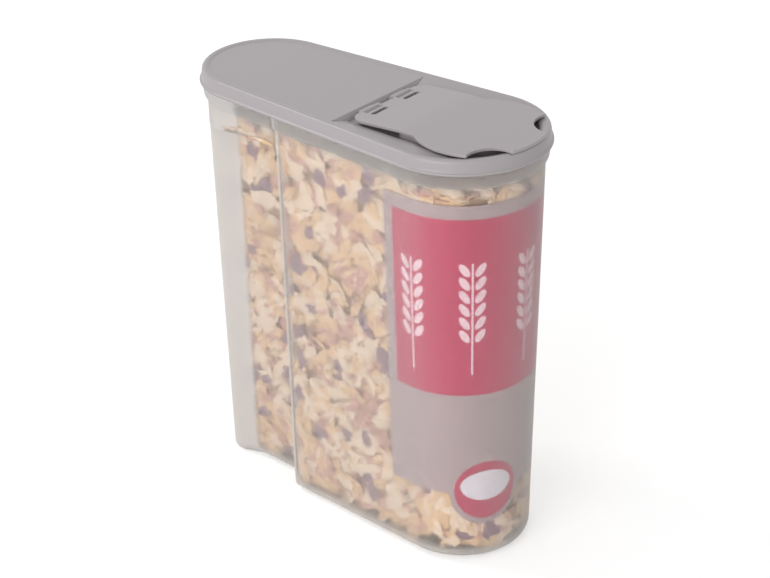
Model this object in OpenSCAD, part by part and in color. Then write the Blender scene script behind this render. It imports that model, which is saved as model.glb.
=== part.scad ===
// Cereal container with a flip spout: a tapered, frosted container with hand grips, a lid that
// presses onto its rim, and a flap that swings up from the pouring opening in the front of the lid.
// Millimetres. X runs along the container with the spout at +X, Z is up, and the origin lies
// under the middle of the container, on the surface that it stands on.

/* [Plan] */
// Radius of the plan's round front end, just outside the lid's lip
front_r = 50; // [45:0.5:56]
// Radius of the plan's round back end, just outside the lid's lip
back_r = 41; // [36:0.5:44]
// Distance between the centres of the two round ends
span = 136; // [125:1:160]

/* [Container] */
// Height from the base to the crest of the lid's rim
total_h = 250; // [200:1:300]
// Thickness of the container's wall and floor
wall = 1.5; // [1.2:0.1:2]
// How far the wall lies inside the plan's outline at the top
top_inset = 4.7; // [4.5:0.1:5.5]
// How far the wall lies inside the plan's outline at the base
base_inset = 11.6; // [8:0.1:14]
// Radius of the edge round the base
base_fillet = 8; // [4:0.5:12]
// Height of the collar below the lid
collar_h = 9; // [6:0.5:14]
// How far the collar stands out from the wall
collar_out = 2.4; // [2:0.1:2.8]

/* [Hand grips] */
// Depth of each grip below the side wall
grip_depth = 12.3; // [8:0.1:13]
// Distance of the grip's sharp front step behind the middle of the plan
grip_front = 35; // [25:1:45]
// Distance from the rim's crest down to the grip's shelf
grip_top = 26; // [24:1:60]
// Fall of the grip's shelf towards the back, in mm for each mm
grip_fall = 0.15; // [0:0.01:0.25]
// Radius of the grip's upper front corner
grip_corner = 8; // [4:0.5:14]

/* [Lid] */
// Height of the lid's outside, from its lip to its crest
lid_h = 8.5; // [8:0.1:12]
// Thickness of the lid's panels
panel_t = 1.6; // [1.2:0.1:2]
// Depth of the flat back panel below the rim's crest
panel_drop = 0.8; // [0.5:0.1:1.2]
// Depth of the well under the flap, below the rim's crest
well_drop = 4.7; // [4.5:0.1:5]
// Thickness of the sealing ring that plugs into the container
plug_t = 1.4; // [1:0.1:1.6]
// How far the sealing ring reaches below the lid's edge
plug_reach = 1.5; // [0.5:0.5:6]

/* [Flap] */
// Thickness of the flap's plate
flap_t = 1.8; // [1.4:0.1:2]
// Half of the flap's width beside the hinge
flap_half_w = 30.5; // [30:0.1:34.5]
// Radius of the flap's wide front
flap_front_r = 37.5; // [35:0.1:38]
// Radius of the flap's rear corners
flap_corner_r = 8; // [2:0.5:10]
// Radius of the finger scallops beside the tab
scallop_r = 14.6; // [12:0.2:16]
// Half of the front tab's width
tab_half_w = 15; // [13:0.2:16]
// Radius of the hinge bar
bar_r = 2; // [1.6:0.1:2]
// Distance of the hinge axis in front of the middle of the plan
hinge_x = 11; // [9:0.5:14]
// Half of the pouring opening's width
pour_half_w = 29; // [24:0.5:29.5]

/* [Label card] */
// Thickness of the card inside the front
card_t = 0.4; // [0.3:0.1:0.6]
// Height of the card's lower edge above the base
card_low = 44; // [20:1:80]
// Distance from the lid's crest down to the card's top
card_drop = 28; // [25:1:100]
// Distance of the card's ends in front of the middle of the plan
card_end = 44; // [20:1:60]
// Radius of the round tongue at the card's lower edge
tongue_r = 21; // [10:0.5:24]

/* [Fits] */
// Gap between pieces that seat in or on each other
seat_gap = 0.3; // [0.2:0.05:0.4]
// Radial clearance of the hinge bar in its hooks
hinge_gap = 0.05; // [0.02:0.01:0.1]

/* [Hidden] */
card_high = total_h - card_drop;
eps = 0.01;

// The plan: two round ends joined by straight sides that lean in towards the back.
lean = asin((front_r - back_r) / span);
mid_x = (front_r - back_r) / 2;
front_x = span / 2 - mid_x;
back_x = -span / 2 - mid_x;

// Heights that more than one piece needs.
crest_z = total_h;
lid_low_z = total_h - lid_h;
panel_z = crest_z - panel_drop;
well_z = crest_z - well_drop;
rim_cap = 3.9;
channel_z = crest_z - rim_cap;
rim_z = channel_z - seat_gap;
hinge_z = crest_z - bar_r;
flap_low_z = hinge_z;
flap_front_z = crest_z + seat_gap;
shelf_z = crest_z - grip_top;

// The wall leans out evenly from the base to the lid.
function wall_inset(z) = base_inset + (top_inset - base_inset) * z / lid_low_z;

rim_inset = wall_inset(rim_z);
plug_inset = rim_inset + wall + seat_gap;

// The lid's channel leaves this much room outside the container's rim.
rim_slack = 0.5;
rim_wall = rim_inset - seat_gap - rim_slack;

// The outer edge of the lid's lip lies this far inside the plan's outline.
lip_inset = 0.8;

// The sides of the plan run between these arcs, in steps of about five degrees.
front_steps = 38;
back_steps = 18;
rise_steps = 5;
grip_crease_a = 106;
grip_end_a = 135;
grip_step_run = 1.5;

// Half width of the plan at x, for an outline that lies inset mm inside the lid's edge.
function side_y(inset, x) = (front_r - inset + (x - front_x) * sin(lean)) / cos(lean);

function front_pt(inset, a) = [front_x + (front_r - inset) * cos(a), (front_r - inset) * sin(a)];

function back_pt(inset, a) = [back_x + (back_r - inset) * cos(a), (back_r - inset) * sin(a)];

function blend(p, q, t) = p * (1 - t) + q * t;

// One side of the plan from the grip's step to the back end. grip is 0 for a plain wall and 1
// for a wall drawn in to the grip's floor, which rises to the round back end behind its crease.
function grip_side(inset, grip, step_x, step_run) =
    let (crease = back_pt(inset, grip_crease_a),
         floor_pt = function (x) [x, side_y(inset, x) - grip_depth],
         foot_x = step_x - step_run,
         deep = floor_pt(crease.x + 4),
         end = back_pt(inset, grip_end_a))
    concat([[step_x, side_y(inset, step_x)],
            [foot_x, side_y(inset, foot_x) - grip * grip_depth]],
           [for (a = [90 + lean, (90 + lean + grip_crease_a) / 2])
               let (p = back_pt(inset, a)) blend(p, floor_pt(p.x + 2), grip)],
           [for (i = [0:rise_steps])
               let (t = i / rise_steps, a = grip_crease_a + t * (grip_end_a - grip_crease_a))
               blend(back_pt(inset, a), blend(deep, end, t), grip)]);

function reversed(list) = [for (i = [len(list) - 1:-1:0]) list[i]];

function mirrored(pts) = [for (p = reversed(pts)) [p.x, -p.y]];

// A closed outline of the plan, anticlockwise from above.
function outline(inset, grip = 0, step_x = -grip_front, step_run = grip_step_run) =
    let (half = grip_side(inset, grip, step_x, step_run),
         turn = 90 + lean,
         back_a = 180 - grip_end_a)
    concat([for (i = [0:front_steps]) front_pt(inset, -turn + 2 * turn * i / front_steps)],
           half,
           [for (i = [1:back_steps - 1]) back_pt(inset, 180 - back_a + 2 * back_a * i / back_steps)],
           mirrored(half));

// A ring is [inset, z], or [inset, z, grip, step_x, fall] where the hand grips are cut. A ring
// with a fall drops towards the back, behind the grip's step.
function ring_pts(r) =
    let (grip = is_undef(r[2]) ? 0 : r[2],
         step_x = is_undef(r[3]) ? -grip_front : r[3],
         fall = is_undef(r[4]) ? 0 : r[4])
    [for (p = outline(r[0], grip, step_x)) [p.x, p.y, r[1] + fall * min(0, p.x - step_x)]];

ring_n = len(outline(0));

// The faces between rings that follow each other in a list of points, count rings in all.
function walls(count) = [for (i = [0:count - 2], k = [0:ring_n - 1])
    let (a = i * ring_n + k, b = i * ring_n + (k + 1) % ring_n, c = b + ring_n, d = a + ring_n)
    each [[a, d, c], [a, c, b]]];

// A closed solid through a stack of rings, from a flat cap on the first to one on the last.
module skin(rings) {
    last = (len(rings) - 1) * ring_n;
    caps = [[for (k = [0:ring_n - 1]) k], [for (k = [ring_n - 1:-1:0]) last + k]];
    polyhedron([for (r = rings) each ring_pts(r)], concat(walls(len(rings)), caps), convexity = 12);
}

// A quarter round of the container's bottom edge, as rings from the flat base up.
function base_rings(inset, z, r, grip, step_x, steps = 6) = [for (i = [0:steps])
    let (a = 90 * i / steps)
    [inset + r * (1 - sin(a)), z + r * (1 - cos(a)), grip, step_x]];

// The round upper front corner of the grip, where its step turns into its shelf.
function corner_rings(extra, top, step_x, steps = 5) = [for (i = [0:steps])
    let (a = 90 * i / steps, z = top - grip_corner * (1 - sin(a)))
    [wall_inset(z) + extra, z, 1, step_x - grip_corner * (1 - cos(a)), grip_fall * i / steps]];

module container() {
    step_x = -grip_front;
    inner_step_x = step_x + wall;
    inner_shelf_z = shelf_z + wall;
    inner_fillet = base_fillet - wall;
    collar_low_z = lid_low_z - collar_h;
    collar_top_z = lid_low_z - seat_gap;
    ledge = 0.6;
    outer = concat(
        base_rings(wall_inset(base_fillet), 0, base_fillet, 1, step_x),
        corner_rings(0, shelf_z, step_x),
        [[wall_inset(shelf_z), shelf_z + ledge, 0, step_x - grip_corner, grip_fall],
         [wall_inset(collar_low_z), collar_low_z, 0],
         [wall_inset(collar_low_z) - collar_out * 0.45, collar_low_z + 0.5, 0],
         [wall_inset(collar_low_z) - collar_out * 0.75, collar_low_z + 1.6, 0],
         [wall_inset(collar_low_z) - collar_out * 0.9, collar_low_z + 3.4, 0],
         [top_inset - collar_out, collar_top_z - 1.2, 0],
         [top_inset - collar_out * 0.95, collar_top_z - 0.4, 0],
         [top_inset - collar_out * 0.75, collar_top_z, 0],
         [top_inset, collar_top_z, 0],
         [rim_inset, rim_z - 0.4, 0],
         [rim_inset + 0.4, rim_z, 0]]);
    inner = concat(
        [[rim_inset + wall - 0.4, rim_z, 0],
         [rim_inset + wall, rim_z - 0.4, 0],
         [wall_inset(inner_shelf_z) + wall, inner_shelf_z + ledge, 0,
          inner_step_x - grip_corner, grip_fall]],
        reversed(corner_rings(wall, inner_shelf_z, inner_step_x)),
        reversed(base_rings(wall_inset(base_fillet) + wall, wall, inner_fillet, 1, inner_step_x)));
    color([0.86, 0.85, 0.83, 0.6]) skin(concat(outer, inner));
}

// A point of the card's plan: column 0 and the last one are its ends on the straight sides, and
// the others run round the front.
function card_pt(inset, i) =
    i == 0 ? [card_end, -side_y(inset, card_end)]
    : i == front_steps + 2 ? [card_end, side_y(inset, card_end)]
    : front_pt(inset, (90 + lean) * (2 * (i - 1) / front_steps - 1));

// The card's lower edge at column i: level, with a round tongue left of the front.
tongue_a = -30;
function card_low_at(i) =
    let (a = (90 + lean) * (2 * (i - 1) / front_steps - 1),
         off = (a - tongue_a) * PI / 180 * (front_r - base_inset))
    card_low - (abs(off) < tongue_r ? sqrt(pow(tongue_r, 2) - pow(off, 2)) : 0);

// The card lies against the inside of the front wall and follows its lean.
module label_card() {
    n = front_steps + 3;
    rows = 4;
    lift = function (i, j) blend(card_low_at(i), card_high, j / rows);
    sheet = function (extra) [for (j = [0:rows], i = [0:n - 1])
        let (z = lift(i, j), p = card_pt(wall_inset(z) + wall + seat_gap + extra, i)) [p.x, p.y, z]];
    size = n * (rows + 1);
    quad = function (a, b, c, d) [[a, d, c], [a, c, b]];
    outer_face = [for (j = [0:rows - 1], i = [0:n - 2])
        let (a = j * n + i) each quad(a, a + 1, a + 1 + n, a + n)];
    inner_face = [for (f = outer_face) [f[2] + size, f[1] + size, f[0] + size]];
    low_edge = [for (i = [0:n - 2]) each quad(size + i, size + i + 1, i + 1, i)];
    high_edge = [for (i = [0:n - 2]) let (a = rows * n + i) each quad(a, a + 1, size + a + 1, size + a)];
    near_end = [for (j = [0:rows - 1]) let (a = j * n) each quad(size + a, a, a + n, size + a + n)];
    far_end = [for (j = [0:rows - 1])
        let (a = j * n + n - 1) each quad(a, size + a, size + a + n, a + n)];
    color([0.69, 0.58, 0.58]) polyhedron(concat(sheet(0), sheet(card_t)),
        concat(outer_face, inner_face, low_edge, high_edge, near_end, far_end), convexity = 6);
}

// The lid's panel steps down from the back panel to the well over a slope. The slope's lower edge
// stands at well_back_x on top, and further back on the underside by the panel's thickness.
well_back_x = 8.4;
well_run = 2.6;
under_back_x = well_back_x - panel_t * 0.54;

// The points of a ring that belong to the well: the front arc and one point on each side.
function in_well(k) = k <= front_steps + 1 || k == ring_n - 1;

// A ring round the whole lid, from [inset, z] in the well and [inset, z] behind it.
function lid_ring(well, behind, back_x = well_back_x) =
    let (w = outline(well[0], 0, back_x, well_run), b = outline(behind[0], 0, back_x, well_run))
    [for (k = [0:ring_n - 1]) in_well(k) ? [w[k].x, w[k].y, well[1]] : [b[k].x, b[k].y, behind[1]]];

// The well's floor, the slope and the back panel, as faces on the ring that starts at point first.
function panel_faces(first) =
    [[for (k = [0:ring_n - 1]) if (in_well(k)) first + k],
     [first + front_steps + 1, first + front_steps + 2, first + ring_n - 2, first + ring_n - 1],
     [for (k = [front_steps + 2:ring_n - 2]) first + k]];

// Inside its crest the rim slopes down towards the flap's edge: far in on the sides, where the slope
// falls towards the hinge, and close to the crest in front, where a fingertip goes in.
slope_side = 17.4;
slope_front = 8.8;
slope_front_drop = 1.6;
slope_side_drop = 0.6;
slope_gap = 0.9;
slope_turn_a = 50;
slope_turn_run = 30;
well_wall = 0.9;

function column_a(k) = (90 + lean) * (2 * k / front_steps - 1);

// 0 in front and 1 on the sides.
function slope_share(k) =
    let (t = max(0, min(1, (abs(column_a(k)) - slope_turn_a) / slope_turn_run))) t * t * (3 - 2 * t);

function slope_pt(k, extra) = k > front_steps
    ? [well_back_x, (k == front_steps + 1 ? 1 : -1) * side_y(slope_side + extra, well_back_x)]
    : front_pt(blend(slope_front, slope_side, slope_share(k)) + extra, column_a(k));

function slope_z(k) = k > front_steps
    ? flap_low_z - slope_gap
    : crest_z - blend(slope_front_drop, slope_side_drop, slope_share(k));

// A ring along the slope's lower edge, or at the height z where z is given, and [inset, z] behind.
function slope_ring(behind, extra = 0, z = undef) =
    let (b = outline(behind[0], 0, well_back_x, well_run))
    [for (k = [0:ring_n - 1]) let (p = in_well(k) ? slope_pt(k, extra) : b[k])
        [p.x, p.y, !in_well(k) ? behind[1] : is_undef(z) ? slope_z(k) : z]];

// The lid's shape from its underside, round the sealing ring, the channel for the container's rim
// and the lip, and over the crest of the raised rim to the back panel and the well.
module lid_shell() {
    plug_in = plug_inset + plug_t;
    plug_z = lid_low_z - plug_reach;
    sides = [[plug_in, plug_z],
             [plug_inset + 0.4, plug_z],
             [plug_inset, plug_z + 0.8],
             [plug_inset, channel_z],
             [rim_wall, channel_z],
             [rim_wall, lid_low_z],
             [lip_inset + 0.3, lid_low_z],
             [lip_inset, lid_low_z + 0.3],
             [lip_inset, lid_low_z + 0.9],
             [lip_inset + 0.3, lid_low_z + 1.3],
             [lip_inset + 0.8, lid_low_z + 1.6],
             [lip_inset + 1.1, lid_low_z + 2.3],
             [2.2, crest_z - 1.7],
             [2.6, crest_z - 0.8],
             [3.3, crest_z - 0.2],
             [4.2, crest_z],
             [5.2, crest_z - 0.1]];
    rings = concat(
        [lid_ring([plug_in, well_z - panel_t], [plug_in, panel_z - panel_t], under_back_x)],
        [for (p = sides) lid_ring(p, p)],
        [lid_ring([6.2, crest_z - 0.3], [5.9, crest_z - 0.2]),
         lid_ring([7, crest_z - 0.5], [6.6, panel_z + 0.2]),
         slope_ring([7.1, panel_z]),
         slope_ring([8, panel_z], well_wall, well_z)]);
    last = (len(rings) - 1) * ring_n;
    polyhedron([for (r = rings) each r],
        concat(walls(len(rings)), panel_faces(0), [for (f = panel_faces(last)) reversed(f)]),
        convexity = 12);
}

// The flap's plan: a straight rear part, a round front that is wider, and a tab over the rim,
// with a finger scallop on each side of the tab.
scallop_x = front_x + 44;
scallop_y = tab_half_w + scallop_r - 0.1;
flap_round_x = front_x + 13.8;
tab_reach = front_r - 2;
module flap_plan(grow = 0) {
    corner_x = hinge_x + flap_corner_r;
    corner_y = flap_half_w - flap_corner_r;
    difference() {
        intersection() {
            union() {
                for (s = [-1, 1]) translate([corner_x, s * corner_y]) circle(flap_corner_r, $fn = 64);
                translate([hinge_x, -corner_y]) square([flap_corner_r, 2 * corner_y]);
                translate([corner_x, -flap_half_w]) square([flap_round_x - corner_x, 2 * flap_half_w]);
                translate([flap_round_x, 0]) circle(flap_front_r, $fn = 128);
                translate([flap_round_x, -tab_half_w]) square([front_r, 2 * tab_half_w]);
            }
            union() {
                translate([front_x, 0]) circle(tab_reach, $fn = 160);
                translate([hinge_x - 5, -front_r]) square([front_x - hinge_x, 2 * front_r]);
            }
        }
        for (s = [-1, 1]) translate([scallop_x, s * scallop_y]) circle(scallop_r, $fn = 64);
    }
}

// The pouring opening, and the ring that plugs it, in plan.
pour_back_x = 40;
pour_round_x = front_x + 2.5;
module pour_plan(inset = 0) {
    r = 8;
    half = pour_half_w - inset;
    for (s = [-1, 1]) translate([pour_back_x + r, s * (pour_half_w - r)]) circle(r - inset, $fn = 48);
    translate([pour_back_x + inset, -(pour_half_w - r)]) square([r, 2 * (pour_half_w - r)]);
    translate([pour_back_x + r, -half]) square([pour_round_x - pour_back_x - r, 2 * half]);
    translate([pour_round_x, 0]) circle(half, $fn = 128);
}

// Each hinge hook stands in a window of the flap, with a narrow slot in front of it. The hooks, and
// the flap's lugs with their bars, lie between these distances from the middle.
hook_from = 8;
hook_to = 18.5;
hook_t = 1.3;
hook_r = bar_r + hinge_gap + hook_t;
hook_lip = 0.7;
lug_from = 5.2;
lug_to = 20.6;
lug_notch = 1.5;
window_side = 1;
window_x = hinge_x + hook_r + 0.15;
slot_x = hinge_x + 6;
slot_w = 2.6;

module along_y(from, to, r) {
    translate([hinge_x, from, hinge_z]) rotate([-90, 0, 0]) cylinder(h = to - from, r = r, $fn = 48);
}

// A saddle, open at the top, that the hinge bar snaps into: its lips stand above the bar's axis.
module hinge_hook() {
    difference() {
        along_y(hook_from, hook_to, hook_r);
        along_y(hook_from - 1, hook_to + 1, bar_r + hinge_gap);
        translate([hinge_x - hook_r - 1, hook_from - 1, hinge_z + hook_lip])
            cube([2 * hook_r + 2, hook_to - hook_from + 2, hook_r]);
    }
}

module lid() {
    color([0.68, 0.66, 0.67]) {
        difference() {
            lid_shell();
            translate([0, 0, well_z - 2 * panel_t]) linear_extrude(4 * panel_t) pour_plan();
        }
        hinge_hook();
        mirror([0, 1, 0]) hinge_hook();
    }
}

// The flap's side view: level behind, rising from the hinge, and level over the rim in front.
rise_from = hinge_x + 3.5;
rise_to = hinge_x + 35;
module flap_profile() {
    far_x = front_x + front_r;
    under = [[hinge_x - 1, flap_low_z], [rise_from, flap_low_z],
             [rise_to, flap_front_z], [far_x, flap_front_z]];
    translate([0, front_r, 0]) rotate([90, 0, 0]) linear_extrude(2 * front_r)
        polygon(concat(under, [for (p = reversed(under)) [p.x, p.y + flap_t]]));
}

module flap() {
    ring_inset = seat_gap + 0.1;
    ring_low_z = well_z - panel_t - 0.5;
    cut_z = flap_low_z - 1;
    cut_h = flap_t + 4;
    cut_from = hook_from - window_side;
    cut_w = hook_to - hook_from + 2 * window_side;
    color([0.70, 0.68, 0.69]) {
        difference() {
            intersection() {
                translate([0, 0, cut_z]) linear_extrude(flap_front_z - cut_z + flap_t + 1) flap_plan();
                flap_profile();
            }
            translate([hinge_x - 1, -lug_from, cut_z]) cube([lug_notch + 1, 2 * lug_from, cut_h]);
            for (s = [0, 1]) mirror([0, s, 0]) {
                translate([hinge_x - 1, cut_from, cut_z]) cube([window_x - hinge_x + 1, cut_w, cut_h]);
                translate([slot_x, cut_from, cut_z]) cube([slot_w, cut_w, cut_h]);
            }
        }
        along_y(lug_from, lug_to, bar_r);
        mirror([0, 1, 0]) along_y(lug_from, lug_to, bar_r);
        translate([0, 0, ring_low_z]) linear_extrude(flap_front_z - ring_low_z + eps)
            difference() {
                pour_plan(ring_inset);
                pour_plan(ring_inset + plug_t);
            }
    }
}

container();
label_card();
lid();
flap();
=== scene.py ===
"""Looks of the cereal container with a flip spout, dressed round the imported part.

The container, the lid, the flap and the label card get finer skins than the solids have, the
cereal is laid in behind the frosted wall, and the whole stands on a pale studio floor. Lengths in
the functions are millimetres in the part's own frame, and mesh_piece turns them into metres.
"""

import math

import bmesh
import bpy
import numpy as np
from mathutils import Matrix, Vector


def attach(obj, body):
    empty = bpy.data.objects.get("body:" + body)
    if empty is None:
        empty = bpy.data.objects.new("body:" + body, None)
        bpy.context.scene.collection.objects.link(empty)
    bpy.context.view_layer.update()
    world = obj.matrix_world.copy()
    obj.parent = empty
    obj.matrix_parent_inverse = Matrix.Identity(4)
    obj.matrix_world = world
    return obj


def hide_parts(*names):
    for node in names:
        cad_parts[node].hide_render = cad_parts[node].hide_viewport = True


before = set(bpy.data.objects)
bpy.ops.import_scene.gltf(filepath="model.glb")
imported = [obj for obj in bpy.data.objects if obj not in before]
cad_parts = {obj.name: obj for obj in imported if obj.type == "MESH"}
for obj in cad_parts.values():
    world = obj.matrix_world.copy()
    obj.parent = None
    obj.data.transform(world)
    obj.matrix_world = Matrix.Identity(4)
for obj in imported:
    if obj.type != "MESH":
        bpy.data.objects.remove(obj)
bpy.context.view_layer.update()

MM = 0.001

# The plan: a round front and a smaller round back joined by straight sides.
FRONT_R, BACK_R, SPAN = 50.0, 41.0, 136.0
LEAN = math.asin((FRONT_R - BACK_R) / SPAN)
FRONT_X = SPAN / 2 - (FRONT_R - BACK_R) / 2
BACK_X = FRONT_X - SPAN
TURN = math.pi / 2 + LEAN

# Heights and insets that several pieces share.
CREST_Z = 250.0
LID_LOW_Z = 241.5
PANEL_Z = 249.2
WELL_Z = 245.3
PANEL_T = 1.6
FLAP_T = 1.8
HINGE_X, HINGE_Z = 11.0, 248.0
FLAP_LOW_Z, FLAP_FRONT_Z = 248.0, 250.3
RISE_FROM, RISE_TO = HINGE_X + 3.5, HINGE_X + 35
CHANNEL_Z = 246.1
RIM_Z = 245.8
WALL = 1.5
SEAT_GAP = 0.3
SHELF_Z = 224.0
FOOT_INSET, BRIM_INSET = 11.6, 4.7
BASE_FILLET = 8.0
COLLAR_LOW_Z, COLLAR_OUT = LID_LOW_Z - 9.0, 2.4
PLUG_T, PLUG_REACH = 1.4, 1.5
GRIP_X, GRIP_DEPTH, GRIP_CORNER, GRIP_FALL = -35.0, 12.3, 8.0, 0.15
CREASE_A, GRIP_END_A = math.radians(106), math.radians(135)


def wall_inset(z):
    """How far the leaning wall lies inside the lid's edge at height z."""
    return FOOT_INSET + (BRIM_INSET - FOOT_INSET) * np.asarray(z, float) / LID_LOW_Z


def column(values):
    """A list of numbers as an array with one row for each ring."""
    return np.asarray(values, float).reshape(-1, 1)


def front_arc(inset, angle):
    """Points of the round front: its centre plus the inset radius times cosine and sine."""
    r = FRONT_R - inset
    return np.stack([FRONT_X + r * np.cos(angle), r * np.sin(angle)], -1)


def back_arc(inset, angle):
    """Points of the round back: its centre plus the inset radius times cosine and sine."""
    r = BACK_R - inset
    return np.stack([BACK_X + r * np.cos(angle), r * np.sin(angle)], -1)


def side_y(inset, x):
    """Half width of the plan at x on its leaning straight side."""
    return (FRONT_R - inset + (x - FRONT_X) * math.sin(LEAN)) / math.cos(LEAN)


def half_side(inset, grip, step_x, run):
    """The far side of the plan from the step to where the back arc starts, one row for each ring.
    At grip 1 the points lie on a floor GRIP_DEPTH inside the side, and rise from it to the back."""
    foot = step_x - run
    crease_x = back_arc(inset, CREASE_A)[..., 0] + 4
    deep = side_y(inset, crease_x) - GRIP_DEPTH
    rows = [
        np.stack([step_x + 0 * inset, side_y(inset, step_x)], -1),
        np.stack([foot + 0 * inset, side_y(inset, foot) - grip * GRIP_DEPTH], -1),
    ]
    for a in np.linspace(TURN, (TURN + CREASE_A) / 2, 5):
        p = back_arc(inset, a)
        floor = np.stack([p[..., 0] + 2, side_y(inset, p[..., 0] + 2) - GRIP_DEPTH], -1)
        rows.append(p + (floor - p) * grip[..., None])
    end = back_arc(inset, GRIP_END_A)
    start = np.stack([crease_x, deep], -1)
    for t in np.linspace(0, 1, 15):
        p = back_arc(inset, CREASE_A + t * (GRIP_END_A - CREASE_A))
        rows.append(p + (start + (end - start) * t - p) * grip[..., None])
    return np.concatenate(rows, 1)


FRONT_N, BACK_N = 121, 46


def outline(inset, grip=0, step_x=GRIP_X, run=1.5):
    """Closed outlines of the plan, anticlockwise from above: front arc, far side, back arc, near side.
    Every argument holds one value for each ring."""
    inset = column(inset)
    grip, step_x = column(grip) + 0 * inset, column(step_x) + 0 * inset
    front = front_arc(inset, np.linspace(-TURN, TURN, FRONT_N)[None] + 0 * inset)
    far = half_side(inset, grip, step_x, run)
    back_a = np.linspace(GRIP_END_A, 2 * math.pi - GRIP_END_A, BACK_N)[1:-1]
    back = back_arc(inset, back_a[None] + 0 * inset)
    near = far[:, ::-1] * [1, -1]
    return np.concatenate([front, far, back, near], 1)


def rings(inset, z, grip=0, step_x=GRIP_X, fall=0):
    """Outlines with their heights; behind the step a ring drops by fall for each millimetre."""
    plan = outline(inset, grip, step_x)
    height = column(z) + column(fall) * np.minimum(0, plan[..., 0] - column(step_x))
    return np.concatenate([plan, (height + 0 * plan[..., 0])[..., None]], -1)


def ring_quads(rows, n, first=0):
    """Quads between rows of n points each, closed round, facing out when the rows climb."""
    i, k = np.meshgrid(np.arange(rows - 1), np.arange(n), indexing="ij")
    a, b = first + i * n + k, first + i * n + (k + 1) % n
    return np.stack([a, b, b + n, a + n], -1).reshape(-1, 4)


def strip_quads(rows, n, first=0):
    """Quads between rows of n points each, open at both ends."""
    i, k = np.meshgrid(np.arange(rows - 1), np.arange(n - 1), indexing="ij")
    a = first + i * n + k
    return np.stack([a, a + 1, a + n + 1, a + n], -1).reshape(-1, 4)


def softened(points, rounds=2):
    """Corner cutting: each corner of a line gives way to points a quarter along its two sides."""
    p = np.asarray(points, float)
    for _ in range(rounds):
        cut = np.stack([0.75 * p[:-1] + 0.25 * p[1:], 0.25 * p[:-1] + 0.75 * p[1:]], 1)
        p = np.concatenate([p[:1], cut.reshape(-1, p.shape[1])[1:-1], p[-1:]])
    return p


class Surface:
    """Points and faces of one piece, gathered from several grids and merged at the end."""

    def __init__(self):
        self.points, self.faces, self.count = [], [], 0

    def add(self, points, faces):
        points = np.asarray(points, float).reshape(-1, 3)
        self.points.append(points)
        self.faces += [tuple(int(v) + self.count for v in f) for f in faces]
        self.count += len(points)

    def rings(self, grid, flip=False):
        """A stack of closed rings."""
        quads = ring_quads(grid.shape[0], grid.shape[1])
        self.add(grid, quads[:, ::-1] if flip else quads)

    def strip(self, grid, flip=False):
        """A grid of points that is open on all four sides."""
        quads = strip_quads(grid.shape[0], grid.shape[1])
        self.add(grid, quads[:, ::-1] if flip else quads)

    def sheet(self, points, flip=False):
        """One flat face round a closed line."""
        face = list(range(len(points)))
        self.add(points, [face[::-1] if flip else face])


def mesh_piece(name, surface, body, material, smooth=True, sharp=35, merge=0.004):
    """A surface as a Blender piece that rides on a body: merged, in metres, with smooth shading
    that breaks at edges sharper than an angle."""
    mesh = bpy.data.meshes.new(name)
    mesh.from_pydata((np.concatenate(surface.points) * MM).tolist(), [], surface.faces)
    if merge:
        bm = bmesh.new()
        bm.from_mesh(mesh)
        bmesh.ops.remove_doubles(bm, verts=bm.verts, dist=merge * MM)
        bm.to_mesh(mesh)
        bm.free()
    mesh.polygons.foreach_set("use_smooth", [smooth] * len(mesh.polygons))
    if smooth and sharp:
        mesh.set_sharp_from_angle(angle=math.radians(sharp))
    mesh.materials.append(material)
    piece = bpy.data.objects.new(name, mesh)
    bpy.context.scene.collection.objects.link(piece)
    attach(piece, body)
    return piece


def bevel(piece, width, segments=3, angle=40):
    """Rounds every edge sharper than an angle."""
    m = piece.modifiers.new("edges", "BEVEL")
    m.width, m.segments = width * MM, segments
    m.limit_method, m.angle_limit = "ANGLE", math.radians(angle)
    m.harden_normals = True
    m.use_clamp_overlap = True
    return piece


class Socket:
    """A shader value. Arithmetic on it adds the Math nodes."""

    def __init__(self, shader, out):
        self.shader, self.out = shader, out

    def _math(self, kind, a, b=0.0, c=0.0):
        return self.shader.node("ShaderNodeMath", {"operation": kind}, [a, b, c])

    def __add__(self, o):
        return self._math("ADD", self, o)

    def __radd__(self, o):
        return self._math("ADD", o, self)

    def __sub__(self, o):
        return self._math("SUBTRACT", self, o)

    def __rsub__(self, o):
        return self._math("SUBTRACT", o, self)

    def __mul__(self, o):
        return self._math("MULTIPLY", self, o)

    def __truediv__(self, o):
        return self._math("DIVIDE", self, o)

    def __abs__(self):
        return self._math("ABSOLUTE", self)

    def root(self):
        return self._math("SQRT", self)

    def repeat(self, period):
        return self._math("WRAP", self, period / 2, -period / 2)

    def least(self, o):
        return self._math("MINIMUM", self, o)

    def most(self, o):
        return self._math("MAXIMUM", self, o)

    def below(self, limit, soft):
        """1 where the value is under limit, 0 above it, with an edge soft wide."""
        return self.shader.node(
            "ShaderNodeMapRange",
            {"interpolation_type": "SMOOTHSTEP"},
            {"Value": self, "From Min": limit - soft, "From Max": limit + soft, "To Min": 1.0, "To Max": 0.0},
        )


# Outputs of the Texture Coordinate node.
TEXTURE_UV, TEXTURE_OBJECT = 2, 3


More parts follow.
